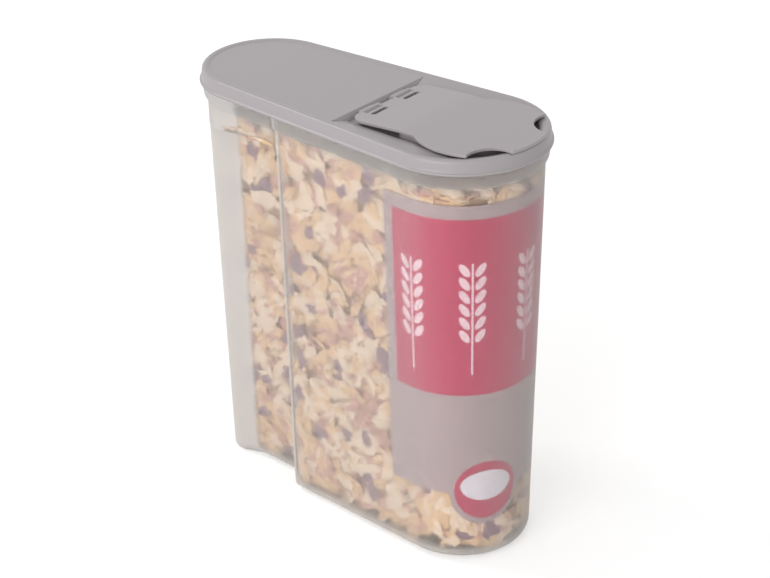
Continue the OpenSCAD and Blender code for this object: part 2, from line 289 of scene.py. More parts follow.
class Shader:
    """A material with one Principled shader, and the node method that everything else is made with."""

    def __init__(self, name, color=None, roughness=0.5, **sockets):
        self.material = bpy.data.materials.new(name)
        self.material.use_nodes = True
        self.tree = self.material.node_tree
        self.tree.nodes.clear()
        self.output = self.tree.nodes.new("ShaderNodeOutputMaterial")
        self.base = self.tree.nodes.new("ShaderNodeBsdfPrincipled")
        self.tree.links.new(self.base.outputs[0], self.output.inputs[0])
        self.set(self.base, {"Roughness": roughness, **({"Base Color": color} if color else {}), **sockets})

    def set(self, node, values):
        """Sets or links the inputs of a node, by name or by number."""
        for key, value in values.items() if isinstance(values, dict) else enumerate(values):
            socket = node.inputs[key]
            if isinstance(value, Socket):
                self.tree.links.new(value.out, socket)
            elif isinstance(value, (tuple, list)) and len(value) == 3 and socket.type == "RGBA":
                socket.default_value = (*value, 1)
            else:
                socket.default_value = value

    def node(self, kind, settings=None, values=(), out=0):
        """A node of any kind: its settings, then its input values, and one of its outputs."""
        n = self.tree.nodes.new(kind)
        for key, value in (settings or {}).items():
            setattr(n, key, value)
        self.set(n, values)
        return Socket(self, n.outputs[out])

    def shader(self, kind, **values):
        """A shader node other than the Principled one."""
        n = self.tree.nodes.new(kind)
        self.set(n, values)
        return n

    def blend(self, factor, a, b):
        """Two shader nodes mixed, with more of b as the factor grows."""
        n = self.tree.nodes.new("ShaderNodeMixShader")
        self.set(n, {0: factor})
        self.tree.links.new(a.outputs[0], n.inputs[1])
        self.tree.links.new(b.outputs[0], n.inputs[2])
        return n

    def finish(self, node):
        """This shader node becomes the material's surface."""
        self.tree.links.new(node.outputs[0], self.output.inputs[0])

    def mix(self, factor, a, b):
        """A colour between a and b."""
        n = self.tree.nodes.new("ShaderNodeMix")
        n.data_type = "RGBA"
        self.set(n, {0: factor, 6: a, 7: b})
        return Socket(self, n.outputs[2])

    def noise(self, scale, detail):
        """Noise on the piece's own place in the frame; scale is in patterns to the metre."""
        place = self.node("ShaderNodeTexCoord", out=TEXTURE_OBJECT)
        return self.node("ShaderNodeTexNoise", {}, {"Vector": place, "Scale": scale, "Detail": detail})

    def bump(self, height, distance, strength):
        """A Bump node into Normal."""
        n = self.node("ShaderNodeBump", {}, {"Height": height, "Distance": distance, "Strength": strength})
        self.set(self.base, {"Normal": n})


def srgb(r, g, b):
    """A colour of 0 to 255 values as the linear values of a shader."""
    c = np.array([r, g, b]) / 255
    return tuple(float(x) for x in np.where(c <= 0.04045, c / 12.92, ((c + 0.055) / 1.055) ** 2.4))


def lid_plastic():
    """Satin grey plastic with a fine moulded grain."""
    s = Shader("lid_plastic", srgb(168, 162, 164), 0.3, **{"Specular IOR Level": 0.5})
    s.bump(s.noise(900.0, 3.0), 0.00003, 0.5)
    return s.material


def frosted_plastic():
    """Milky see-through plastic: a haze, half of it lit from outside and half from within, over a
    part that light passes, some straight and most scattered by the rough wall. The haze thickens
    where the wall is seen at a low angle, and at the round back end, the collar and the foot. A narrow
    band of extra haze along the grip's upright edge is a painted highlight line. The haze is thinner on the
    step beside that edge."""
    s = Shader("frosted_wall", srgb(240, 238, 236), 0.34, **{"Specular IOR Level": 0.5})
    facing = s.node("ShaderNodeLayerWeight", {}, {"Blend": 0.5}, out=1)
    place = s.node("ShaderNodeTexCoord", out=TEXTURE_OBJECT)
    along = s.node("ShaderNodeSeparateXYZ", {}, [place], out=0) / MM
    height = s.node("ShaderNodeSeparateXYZ", {}, [place], out=2) / MM
    squared = facing * facing
    slant = HAZE_LOW + facing * HAZE_RISE + squared * squared * facing * HAZE_GRAZING
    step = abs(along - (GRIP_X - 1.2)).below(1.2, 0.3)
    # Painted highlight: a narrow band of white haze along the grip's upright edge stands in for the bright
    # line that light draws there.
    edge = abs(along - (GRIP_X + 0.5)).below(0.9, 0.4)
    above = 1 - height.below(SHELF_Z, 2.0)
    end = (along - above * END_SHIFT).below(END_X, 2.6)
    collar = 1 - height.below(LID_LOW_Z - 12.0, 5.0)
    foot = height.below(7.0, 4.0)
    thick = collar * COLLAR_HAZE + foot * BASE_HAZE
    haze = (slant * (1 - step * STEP_CLEAR) + edge * EDGE_PAINTED_HIGHLIGHT + end * END_HAZE + thick).least(HAZE_MOST)
    tint = (0.99, 0.985, 0.98)
    straight = s.shader("ShaderNodeBsdfTransparent", Color=tint)
    scattered = s.shader("ShaderNodeBsdfRefraction", Color=tint, Roughness=0.52, IOR=1.2)
    glow = s.shader("ShaderNodeBsdfTranslucent", Color=srgb(244, 241, 238))
    clear = s.blend(SCATTERED_SHARE, straight, scattered)
    s.finish(s.blend(haze, clear, s.blend(0.5, s.base, glow)))
    return s.material


def grain_material(name, color, dark):
    """Toasted cereal: a colour mottled with a darker one."""
    s = Shader(name, color, 0.7)
    spots = s.noise(260.0, 3.0)
    s.set(s.base, {"Base Color": s.mix((spots - 0.35) * 1.6, dark, color)})
    return s.material


# The label card: a plain mauve-grey card with a pink panel with ears of grain, and a pink disc with a
# pale bowl on its tongue.
CARD_T, CARD_LOW, CARD_HIGH, CARD_END = 0.4, 44.0, 222.0, 44.0
TONGUE_R, TONGUE_A = 21.0, math.radians(-30)
DISC_ARC = FRONT_R - FOOT_INSET


def card_print():
    """The card's print, on its own map: u runs round the front in millimetres / 100 from the middle
    of the front, v is height / 100. An ear of grain is a slanted oval, mirrored over the stem and
    repeated up it, and the ears repeat along the panel."""
    plain, pale, pink = srgb(176, 158, 160), srgb(236, 205, 214), srgb(192, 58, 96)
    s = Shader("card_print", plain, 0.55)
    place = s.node("ShaderNodeTexCoord", out=TEXTURE_UV)
    u = s.node("ShaderNodeSeparateXYZ", {}, [place], out=0) * 100
    v = s.node("ShaderNodeSeparateXYZ", {}, [place], out=1) * 100
    panel_u = abs(u + 24.75)
    panel_v = abs(v - 160.5)
    panel = panel_u.below(48.75, 0.35) * panel_v.below(53.5, 0.35)
    ear_u = abs((u + 29.0).repeat(32.0))
    ear_v = v - 160.0
    grain_u = ear_u - 4.0
    grain_v = ear_v.repeat(8.0)
    along = grain_u * 0.5 + grain_v * 0.866
    across = grain_u * 0.866 - grain_v * 0.5
    oval_u, oval_v = along / 4.4, across / 2.0
    oval = (oval_u * oval_u + oval_v * oval_v).below(1.0, 0.12)
    head = abs(ear_v - 4.0).below(24.0, 0.3) * ear_u.below(8.2, 0.3)
    stem = ear_u.below(0.55, 0.2) * abs(ear_v + 6.0).below(34.0, 0.3)
    ears = (oval * head).most(stem) * panel_u.below(46.5, 0.3)
    disc_u = u - TONGUE_A * DISC_ARC
    disc_v = v - 45.0
    disc_d = (disc_u * disc_u + disc_v * disc_v).root()
    disc = disc_d.below(18.4, 0.3)
    bowl_u, bowl_v = disc_u / 15.0, (disc_v - 3.0) / 9.5
    bowl = (bowl_u * bowl_u + bowl_v * bowl_v).root().below(1.0, 0.03)
    color = s.mix(panel, plain, pink)
    color = s.mix(ears, color, pale)
    color = s.mix(disc, color, srgb(190, 66, 98))
    color = s.mix(bowl, color, srgb(226, 220, 228))
    s.set(s.base, {"Base Color": color})
    return s.material


HAZE_LOW, HAZE_RISE, HAZE_GRAZING = 0.012, 0.62, 0.45
# The third value sets how strongly the painted highlight line along the grip's upright edge shows.
COLLAR_HAZE, BASE_HAZE, EDGE_PAINTED_HIGHLIGHT = 0.22, 0.45, 0.6
END_X, END_HAZE, END_SHIFT = -78.5, 0.9, 12.0
STEP_CLEAR, HAZE_MOST, SCATTERED_SHARE = 0.85, 0.96, 0.82
LID_PLASTIC = lid_plastic()
FROSTED = frosted_plastic()


def container_wall():
    """The double skin of the container: outer rings from the base up to the rim, inner rings from
    the rim down to the floor. The rings of the grip's round corner move its step back as they climb."""
    rise, turn = np.linspace(0, math.pi / 2, 13), np.linspace(0, math.pi / 2, 17)

    def skin(extra, floor_z, r, shelf, step):
        base_z = floor_z + r * (1 - np.cos(rise))
        base = rings(wall_inset(BASE_FILLET) + extra + r * (1 - np.sin(rise)), base_z, 1, step)
        corner_z = shelf - GRIP_CORNER * (1 - np.sin(turn))
        corner_x = step - GRIP_CORNER * (1 - np.cos(turn))
        corner = rings(wall_inset(corner_z) + extra, corner_z, 1, corner_x, GRIP_FALL * turn / turn[-1])
        top = rings([wall_inset(shelf + 0.6) + extra], [shelf + 0.6], 0, step - GRIP_CORNER, GRIP_FALL)
        return [base, corner, top]

    low, foot, out = COLLAR_LOW_Z, float(wall_inset(COLLAR_LOW_Z)), COLLAR_OUT
    brim, brim_z = BRIM_INSET, LID_LOW_Z - SEAT_GAP
    profile = softened([
        [foot, low], [foot - out * 0.45, low + 0.5],
        [foot - out * 0.75, low + 1.6], [foot - out * 0.9, low + 3.4],
        [brim - out, brim_z - 1.2], [brim - out * 0.95, brim_z - 0.4],
        [brim - out * 0.75, brim_z], [brim, brim_z]], 1)
    rim_in = float(wall_inset(RIM_Z))
    rim = np.array([[rim_in, RIM_Z - 0.4], [rim_in + 0.15, RIM_Z - 0.1], [rim_in + 0.4, RIM_Z],
                    [rim_in + WALL - 0.4, RIM_Z], [rim_in + WALL, RIM_Z - 0.4]])
    outer = np.concatenate(skin(0, 0, BASE_FILLET, SHELF_Z, GRIP_X))
    collar = rings(np.concatenate([profile[:, 0], rim[:, 0]]), np.concatenate([profile[:, 1], rim[:, 1]]))
    inner = np.concatenate(skin(WALL, WALL, BASE_FILLET - WALL, SHELF_Z + WALL, GRIP_X + WALL))[::-1]
    s = Surface()
    s.rings(np.concatenate([outer, collar, inner]))
    s.sheet(outer[0], flip=True)
    s.sheet(inner[-1])
    return s


WELL_X, WELL_RUN = 8.4, 2.6
SLOPE_SIDE, SLOPE_FRONT = 17.4, 8.8
SLOPE_SIDE_DROP, SLOPE_FRONT_DROP, SLOPE_GAP, WELL_WALL = 0.6, 1.6, 0.9, 0.9
SLOPE_TURN, SLOPE_TURN_RUN = math.radians(50), math.radians(30)


def lid_rings(well, behind, step_x=WELL_X):
    """Rings round the lid: the front and one point on each side take the well's inset and height,
    and the rest those of the back panel."""
    well, behind = np.asarray(well, float), np.asarray(behind, float)
    a = outline(well[:, 0], 0, step_x, WELL_RUN)
    b = outline(behind[:, 0], 0, step_x, WELL_RUN)
    inside = np.arange(a.shape[1]) <= FRONT_N
    inside[-1] = True
    plan = np.where(inside[None, :, None], a, b)
    z = np.where(inside[None], column(well[:, 1]), column(behind[:, 1]))
    return np.concatenate([plan, z[..., None]], -1)


def slope_rings(crest_ring):
    """The rim's inner slope, from a ring at its top to its lower edge and down the well's wall. The
    edge's inset turns from the one in front to the one on the sides as a smooth step of the angle,
    and on the sides it falls towards the hinge. Behind, the rings close in on the back panel."""
    angle = np.linspace(-TURN, TURN, FRONT_N)
    t = np.clip((np.abs(angle) - SLOPE_TURN) / SLOPE_TURN_RUN, 0, 1)
    share = t * t * (3 - 2 * t)
    inset = SLOPE_FRONT + (SLOPE_SIDE - SLOPE_FRONT) * share
    height = CREST_Z - (SLOPE_FRONT_DROP + (SLOPE_SIDE_DROP - SLOPE_FRONT_DROP) * share)
    corner_y = side_y(SLOPE_SIDE, WELL_X)

    def ring(extra, lower, behind_inset, behind_z):
        base = outline([behind_inset], 0, WELL_X, WELL_RUN)[0]
        points = np.concatenate([base, np.full((len(base), 1), float(behind_z))], 1)
        points[:FRONT_N, :2] = front_arc(inset + extra, angle)
        points[:FRONT_N, 2] = height if lower is None else lower
        corner_z = FLAP_LOW_Z - SLOPE_GAP if lower is None else lower
        points[FRONT_N] = WELL_X, corner_y - extra, corner_z
        points[-1] = WELL_X, -corner_y + extra, corner_z
        return points

    edge, floor = ring(0, None, 7.1, PANEL_Z), ring(WELL_WALL, WELL_Z, 8.0, PANEL_Z)
    return softened_rings(np.stack([crest_ring, edge, floor]), 2)


def softened_rings(grid, rounds):
    """Corner cutting between whole rings."""
    for _ in range(rounds):
        cut = np.stack([0.75 * grid[:-1] + 0.25 * grid[1:], 0.25 * grid[:-1] + 0.75 * grid[1:]], 1)
        grid = np.concatenate([grid[:1], cut.reshape(-1, *grid.shape[1:])[1:-1], grid[-1:]])
    return grid


POUR_HALF, POUR_CORNER, POUR_BACK, POUR_X = 29.0, 8.0, 40.0, 60.0
POUR_ROUND_X = FRONT_X + 2.5


def pour_outline(directions, inset=0.0):
    """The pouring opening, seen from a point inside it: in each direction a point is moved out or
    in by ever shorter steps until it lies on the edge."""
    c, s = np.cos(directions), np.sin(directions)
    r, step = np.full_like(directions, 20.0), 10.0
    for _ in range(24):
        inside = pour_distance(POUR_X + r * c, r * s, inset) < 0
        r = np.where(inside, r + step, r - step)
        step *= 0.62
    return np.stack([POUR_X + r * c, r * s], -1)


def pour_distance(x, y, inset):
    """Signed distance to the opening's edge: a rounded rectangle behind, a circle in front."""
    half, r, back = POUR_HALF - inset, POUR_CORNER - inset, POUR_BACK + inset
    y = np.abs(y)
    qx, qy = np.maximum(back + r - x, 0), np.maximum(y - (half - r), 0)
    box = np.hypot(qx, qy) - r
    round_front = np.hypot(x - POUR_ROUND_X, y) - half
    return np.where(x > POUR_ROUND_X, round_front, np.where(x < back + r, box, y - half))


def lid_body():
    """The lid: rings from the underside of the panel round the sealing ring, the channel and the
    skirt, over the crest to the panels. The back panel, the slope and the floor of the well close it
    above and below, with the pouring opening through the well."""
    plug_inset = float(wall_inset(RIM_Z)) + WALL + SEAT_GAP
    plug_in, plug_z = plug_inset + PLUG_T, LID_LOW_Z - PLUG_REACH
    rim_wall = float(wall_inset(RIM_Z)) - SEAT_GAP - 0.5
    under = [[plug_in, plug_z], [plug_inset + 0.4, plug_z], [plug_inset, plug_z + 0.8],
             [plug_inset, CHANNEL_Z], [rim_wall, CHANNEL_Z], [rim_wall, LID_LOW_Z]]
    side = [[1.1, LID_LOW_Z], [0.8, LID_LOW_Z + 0.3], [0.8, LID_LOW_Z + 0.9],
            [1.1, LID_LOW_Z + 1.3], [1.6, LID_LOW_Z + 1.6], [1.9, LID_LOW_Z + 2.3],
            [2.2, CREST_Z - 1.7], [2.6, CREST_Z - 0.8], [3.3, CREST_Z - 0.2],
            [4.2, CREST_Z], [5.2, CREST_Z - 0.1]]
    inner_well = [[6.2, CREST_Z - 0.3], [7.0, CREST_Z - 0.5]]
    inner_back = [[5.9, CREST_Z - 0.2], [6.6, PANEL_Z + 0.2]]
    well = softened(side + inner_well, 2)
    behind = softened(side + inner_back, 2)
    low = lid_rings([[plug_in, WELL_Z - PANEL_T]], [[plug_in, PANEL_Z - PANEL_T]], WELL_X - PANEL_T * 0.54)
    mid = lid_rings(under, under)
    top = lid_rings(well, behind)
    top = np.concatenate([top[:-1], slope_rings(top[-1])])
    s = Surface()
    s.rings(np.concatenate([low, mid, top]))
    for ring, flip in ((low[0], True), (top[-1], False)):
        far, near = ring[FRONT_N], ring[-1]
        far_up, near_up = ring[FRONT_N + 1], ring[-2]
        t = np.linspace(0, 1, 33)[:, None]
        foot, brow = far + (near - far) * t, far_up + (near_up - far_up) * t
        s.strip(np.stack([brow, foot]), flip)
        s.sheet(np.concatenate([ring[FRONT_N + 1:-1], brow[1:-1][::-1]]), flip)
        edge = np.concatenate([ring[:FRONT_N + 1], foot[1:]])
        hole = pour_outline(np.arctan2(edge[:, 1], edge[:, 0] - POUR_X))
        hole = np.concatenate([hole, np.full((len(hole), 1), edge[0, 2])], 1)
        s.rings(np.stack([edge, hole]), flip)
        if flip:
            low_hole = hole
        else:
            s.rings(np.stack([hole, low_hole]), flip)
    return s


# The flap's lugs: the bar's radius, its two ends, the cut for the lid's saddle, and the slots.
BAR_R, BAR_START, BAR_END = 2.0, 5.2, 20.6
CUT_START, CUT_END, CUT_DEPTH = 7.0, 19.5, 3.5
SLOT_AHEAD, SLOT_W, RING_GAP = 6, 2.6, 0.4


def flap_outline():
    """Half of the flap's plan, from the middle of the tab round to the middle of the hinge: the tab's
    end, a finger scallop, the wide round front, the straight side, the rear corner and the lug."""
    tab_half, bite_r = 15.0, 14.6
    bite = np.array([FRONT_X + 44, tab_half + bite_r - 0.1])
    round_x, round_r, half, corner = FRONT_X + 13.8, 37.5, 30.5, 8.0
    reach = FRONT_R - 2
    # Where the tab's end and the wide front meet the scallop's circle.
    tab_end = meet((FRONT_X, 0), reach, bite, bite_r, 1)
    front_end = meet((round_x, 0), round_r, bite, bite_r, -1)
    tab = arc((FRONT_X, 0), reach, 0, bearing((FRONT_X, 0), tab_end), 16)
    cut = arc(bite, bite_r, bearing(bite, tab_end), bearing(bite, front_end) - 2 * math.pi, 40)
    side_a = math.pi - math.asin(half / round_r)
    front = arc((round_x, 0), round_r, bearing((round_x, 0), front_end), side_a, 50)
    rear = arc((HINGE_X + corner, half - corner), corner, math.pi / 2, math.pi, 12)
    cut_x = HINGE_X + CUT_DEPTH
    lug = np.array([[HINGE_X, CUT_END], [cut_x, CUT_END], [cut_x, CUT_START], [HINGE_X, CUT_START],
                    [HINGE_X, BAR_START], [HINGE_X + 1.5, BAR_START]])
    return np.concatenate([tab, cut, front, rear, lug])


def arc(centre, r, start, end, n):
    """Points on a circle from one angle to another."""
    a = np.linspace(start, end, n)
    return np.stack([centre[0] + r * np.cos(a), centre[1] + r * np.sin(a)], -1)


def bearing(centre, point):
    """The direction of a point seen from a centre."""
    return math.atan2(point[1] - centre[1], point[0] - centre[0])


def meet(c1, r1, c2, r2, side):
    """Where two circles cross: along the line between their centres, then off it to one side."""
    c1, c2 = np.asarray(c1, float), np.asarray(c2, float)
    gap = np.linalg.norm(c2 - c1)
    along = (gap**2 + r1**2 - r2**2) / (2 * gap)
    off = math.sqrt(r1**2 - along**2)
    d = (c2 - c1) / gap
    return c1 + d * along + side * off * np.array([d[1], -d[0]])


def flap_rise(x):
    """How far the flap has risen at x: a straight ramp from the hinge to the front."""
    t = np.clip((x - RISE_FROM) / (RISE_TO - RISE_FROM), 0, 1)
    return (FLAP_FRONT_Z - FLAP_LOW_Z) * t


def flap_plate():
    """The plate: its plan cut into strips across, so that it can rise from the hinge, with rounded
    edges and two slots behind the hooks."""
    half = flap_outline()
    plan = np.concatenate([half, half[::-1] * [1, -1]])
    keep = np.linalg.norm(plan - np.roll(plan, 1, 0), axis=1) > 0.01
    outer = bmesh.new()
    loops = [plan[keep]]
    for s in (1, -1):
        loops.append(slot_outline(HINGE_X + SLOT_AHEAD, SLOT_W, CUT_START * s, CUT_END * s))
    edges = []
    for loop in loops:
        verts = [outer.verts.new((x, y, 0)) for x, y in loop]
        edges += [outer.edges.new((verts[i], verts[(i + 1) % len(verts)])) for i in range(len(verts))]
    bmesh.ops.triangle_fill(outer, use_beauty=True, use_dissolve=False, edges=edges)
    for x in np.linspace(RISE_FROM, RISE_TO, 9):
        geometry = list(outer.verts) + list(outer.edges) + list(outer.faces)
        bmesh.ops.bisect_plane(outer, geom=geometry, plane_co=(x, 0, 0), plane_no=(1, 0, 0))
    outer.verts.index_update()
    outer.normal_update()
    flat = np.array([v.co[:2] for v in outer.verts])
    up = []
    for f in outer.faces:
        face = [v.index for v in f.verts]
        up.append(face if f.normal.z > 0 else face[::-1])
    rim = [(e.verts[0].index, e.verts[1].index) for e in outer.edges if e.is_boundary]
    outer.free()
    n = len(flat)
    low = FLAP_LOW_Z + flap_rise(flat[:, 0])
    points = np.concatenate([np.column_stack([flat, low]), np.column_stack([flat, low + FLAP_T])])
    s = Surface()
    faces = [[v + n for v in f] for f in up] + [f[::-1] for f in up]
    forward = {pair for f in up for pair in zip(f, f[1:] + f[:1])}
    for a, b in rim:
        if (a, b) not in forward:
            a, b = b, a
        faces.append([a, b, b + n, a + n])
    s.add(points, faces)
    return s


def slot_outline(x, width, start, end):
    """A slot with rounded ends across the flap."""
    r = min(width / 2, 1.0)
    y0, y1 = min(start, end), max(start, end)
    x0, x1 = x + r, x + width - r
    corners = ((x1, y1 - r, 0), (x0, y1 - r, 90), (x0, y0 + r, 180), (x1, y0 + r, 270))
    arcs = [arc((cx, cy), r, math.radians(a), math.radians(a + 90), 6) for cx, cy, a in corners]
    return np.concatenate(arcs)


def tube_y(surface, x, z, r, start, end):
    """A round bar along y with rounded ends: circles of radius r that shrink to its end faces."""
    a = np.linspace(0, 2 * math.pi, 40, endpoint=False)
    radius = column([r - 0.35, r - 0.1, r, r, r - 0.1, r - 0.35])
    y = column([start, start + 0.1, start + 0.35, end - 0.35, end - 0.1, end])
    grid = np.stack([x + radius * np.sin(a), y + 0 * a, z + radius * np.cos(a)], -1)
    surface.rings(grid, flip=True)
    surface.sheet(grid[0])
    surface.sheet(grid[-1], flip=True)


def hinge_bars():
    """The two bars of the flap's lugs."""
    s = Surface()
    tube_y(s, HINGE_X, HINGE_Z, BAR_R, BAR_START, BAR_END)
    tube_y(s, HINGE_X, HINGE_Z, BAR_R, -BAR_END, -BAR_START)
    return s


def hinge_hooks():
    """Saddles of the lid that the bars snap into: a ring section, cut level above the bar's axis,
    carried along y."""
    s = Surface()
    lip, bore_r, outer_r = 0.7, BAR_R + 0.05, 3.35
    wide, slim = math.asin(lip / outer_r), math.asin(lip / bore_r)
    outer = arc((HINGE_X, HINGE_Z), outer_r, wide, -math.pi - wide, 40)
    inner = arc((HINGE_X, HINGE_Z), bore_r, -math.pi - slim, slim, 40)
    section = np.concatenate([outer, inner])
    for ends in ((8.0, 18.5), (-18.5, -8.0)):
        grid = np.stack([np.insert(section, 1, y, axis=1) for y in ends])
        s.rings(grid)
        s.sheet(grid[0], flip=True)
        s.sheet(grid[1])
    return s


def flap_underside():
    """The ring that plugs the pouring opening: two outlines of the opening joined by upright walls."""
    d = np.linspace(-math.pi, math.pi, 160, endpoint=False)
    low, high = WELL_Z - PANEL_T - 0.5, FLAP_FRONT_Z + 0.01
    out, inn = pour_outline(d, RING_GAP), pour_outline(d, RING_GAP + PLUG_T)
    steps = ((inn, high), (inn, low), (out, low), (out, high), (inn, high))
    s = Surface()
    s.rings(np.stack([np.column_stack([plan, np.full(len(plan), z)]) for plan, z in steps]))
    return s


def label_card():
    """The card: rows from its lower edge, with the round tongue, to its upper edge, against the
    inside of the wall, as an outer and an inner sheet joined all round."""
    a = np.concatenate([[-TURN], np.linspace(-TURN, TURN, 181), [TURN]])
    off = (a - TONGUE_A) * DISC_ARC
    low = CARD_LOW - np.sqrt(np.maximum(TONGUE_R ** 2 - off ** 2, 0))
    t = np.linspace(0, 1, 9)[:, None]
    z = low + (CARD_HIGH - low) * t

    def sheet(extra):
        inset = wall_inset(z) + WALL + SEAT_GAP + extra
        plan = front_arc(inset, a[None] + 0 * z)
        end_y = side_y(inset, CARD_END)
        plan[:, 0] = np.stack([CARD_END + 0 * end_y[:, 0], -end_y[:, 0]], -1)
        plan[:, -1] = np.stack([CARD_END + 0 * end_y[:, 0], end_y[:, -1]], -1)
        return np.concatenate([plan, z[..., None]], -1)

    front, back = sheet(0), sheet(CARD_T)
    s = Surface()
    s.strip(front)
    s.strip(back, flip=True)
    s.strip(np.stack([back[0], front[0]]))
    s.strip(np.stack([front[-1], back[-1]]))
    s.strip(np.stack([back[:, 0], front[:, 0]], 1))
    s.strip(np.stack([front[:, -1], back[:, -1]], 1))
    return s


def card_map(piece):
    """The card's map: the arc from the front's middle in millimetres / 100, and height / 100."""
    mesh = piece.data
    co = np.zeros(len(mesh.vertices) * 3)
    mesh.vertices.foreach_get("co", co)
    co = co.reshape(-1, 3) / MM
    angle = np.arctan2(co[:, 1], co[:, 0] - FRONT_X)
    end_x = FRONT_X - (FRONT_R - wall_inset(co[:, 2]) - WALL - SEAT_GAP) * math.sin(LEAN)
    arc_u = np.clip(angle, -TURN, TURN) * DISC_ARC + np.sign(co[:, 1]) * np.maximum(end_x - co[:, 0], 0)
    loops = np.zeros(len(mesh.loops), int)
    mesh.loops.foreach_get("vertex_index", loops)
    uv = np.stack([arc_u[loops] / 100, co[loops, 2] / 100], -1)
    mesh.uv_layers.new(name="card_map").data.foreach_set("uv", uv.ravel())


def fill_rings(gap, rows, high=228.0):
    """The surface of the cereal, gap inside the container's inner wall."""
    low = WALL + 3
    z = np.linspace(low + gap, high, rows)
    grip = np.clip((SHELF_Z - 4 - z) / 3, 0, 1)
    lift = BASE_FILLET * (1 - np.sqrt(np.clip((z - low) / 10, 0, 1)))
    return rings(wall_inset(z) + WALL + gap + lift, z, grip, GRIP_X + WALL + gap)


def cereal_core():
    """The heap behind the flakes, closed above and below."""
    grid = fill_rings(5.0, 40, high=224.0)
    s = Surface()
    s.rings(grid)
    s.sheet(grid[0], flip=True)
    s.sheet(grid[-1])
    return s


def scatter(rng, count, gap):
    """Random places on the cereal's surface, each with the way out: points of a fine grid of it,
    picked by area, and the normal from its two directions."""
    grid = fill_rings(gap, 120)
    du = np.roll(grid, -1, 1) - grid
    dv = np.gradient(grid, axis=0)
    normal = np.cross(du, dv)
    area = np.linalg.norm(normal, axis=-1)
    pick = rng.choice(area.size, count, p=(area / area.sum()).ravel())
    i, k = np.unravel_index(pick, area.shape)
    i = np.minimum(i, grid.shape[0] - 2)
    place = grid[i, k] + du[i, k] * rng.random((count, 1)) + dv[i, k] * rng.random((count, 1))
    return place, normal[i, k] / np.maximum(area[i, k], 1e-9)[:, None]


def scatter_top(rng, count):
    """Random places on the level top of the cereal, facing up."""
    out = np.stack([rng.uniform(-108, 108, count * 3), rng.uniform(-42, 42, count * 3)], -1)
    x = out[:, 0]
    half = np.where(x > FRONT_X, np.sqrt(np.maximum(43 ** 2 - (x - FRONT_X) ** 2, 0)),
                    np.where(x < BACK_X, np.sqrt(np.maximum(34 ** 2 - (x - BACK_X) ** 2, 0)), side_y(8.0, x)))
    out = out[np.abs(out[:, 1]) < half][:count]
    place = np.concatenate([out, rng.uniform(224, 227, (len(out), 1))], 1)
    return place, np.tile([0.0, 0.0, 1.0], (len(out), 1))


def kept_inside(points, gap):
    """Points drawn back to at least gap inside the container's wall: on the round ends along the
    radius, between them along y, and at the hand grips to the nearest of floor, step and shelf."""
    x, y, z = points[..., 0].copy(), points[..., 1].copy(), points[..., 2].copy()
    z = np.clip(z, WALL + gap, 231.0)
    fillet = BASE_FILLET - WALL
    low = np.clip((BASE_FILLET - z) / fillet, 0, 1)
    inset = wall_inset(z) + WALL + gap + fillet * (1 - np.sqrt(1 - low**2))
    card = (x > CARD_END - 1) & (z < CARD_HIGH + 2) & (z > CARD_LOW - TONGUE_R - 2)
    inset = inset + np.where(card, 2 * CARD_T, 0)
    side, far = np.sign(y), np.abs(y)
    depth = far - (side_y(inset, x) - GRIP_DEPTH)
    ahead, above = GRIP_X + WALL + gap - x, SHELF_Z - 4.0 - z
    gripped = (depth > 0) & (ahead > 0) & (above > 0)
    least = np.minimum(np.minimum(depth, ahead), above)
    far = np.where(gripped & (depth <= least), far - depth, far)
    x = np.where(gripped & (ahead <= least), x + ahead, x)
    z = np.where(gripped & (above <= least), z + above + 2, z)
    far = np.where((x <= FRONT_X) & (x >= BACK_X), np.minimum(far, side_y(inset, x)), far)
    for centre, radius, beyond in ((FRONT_X, FRONT_R, x > FRONT_X), (BACK_X, BACK_R, x < BACK_X)):
        share = np.minimum(1, (radius - inset) / np.maximum(np.hypot(x - centre, far), 1e-6))
        x = np.where(beyond, centre + (x - centre) * share, x)
        far = np.where(beyond, far * share, far)
    return np.stack([x, side * far, z], -1)


def turned(rng, normal, tilt):
    """A turned frame for each piece: a random turn about its normal, tipped by up to tilt radians."""
    n = len(normal)
    w = normal + rng.normal(0, tilt, (n, 3))
    w /= np.linalg.norm(w, axis=1)[:, None]
    v = rng.normal(0, 1, (n, 3))
    u = np.cross(v, w)
    u /= np.linalg.norm(u, axis=1)[:, None]
    return np.stack([u, np.cross(w, u), w], 1)


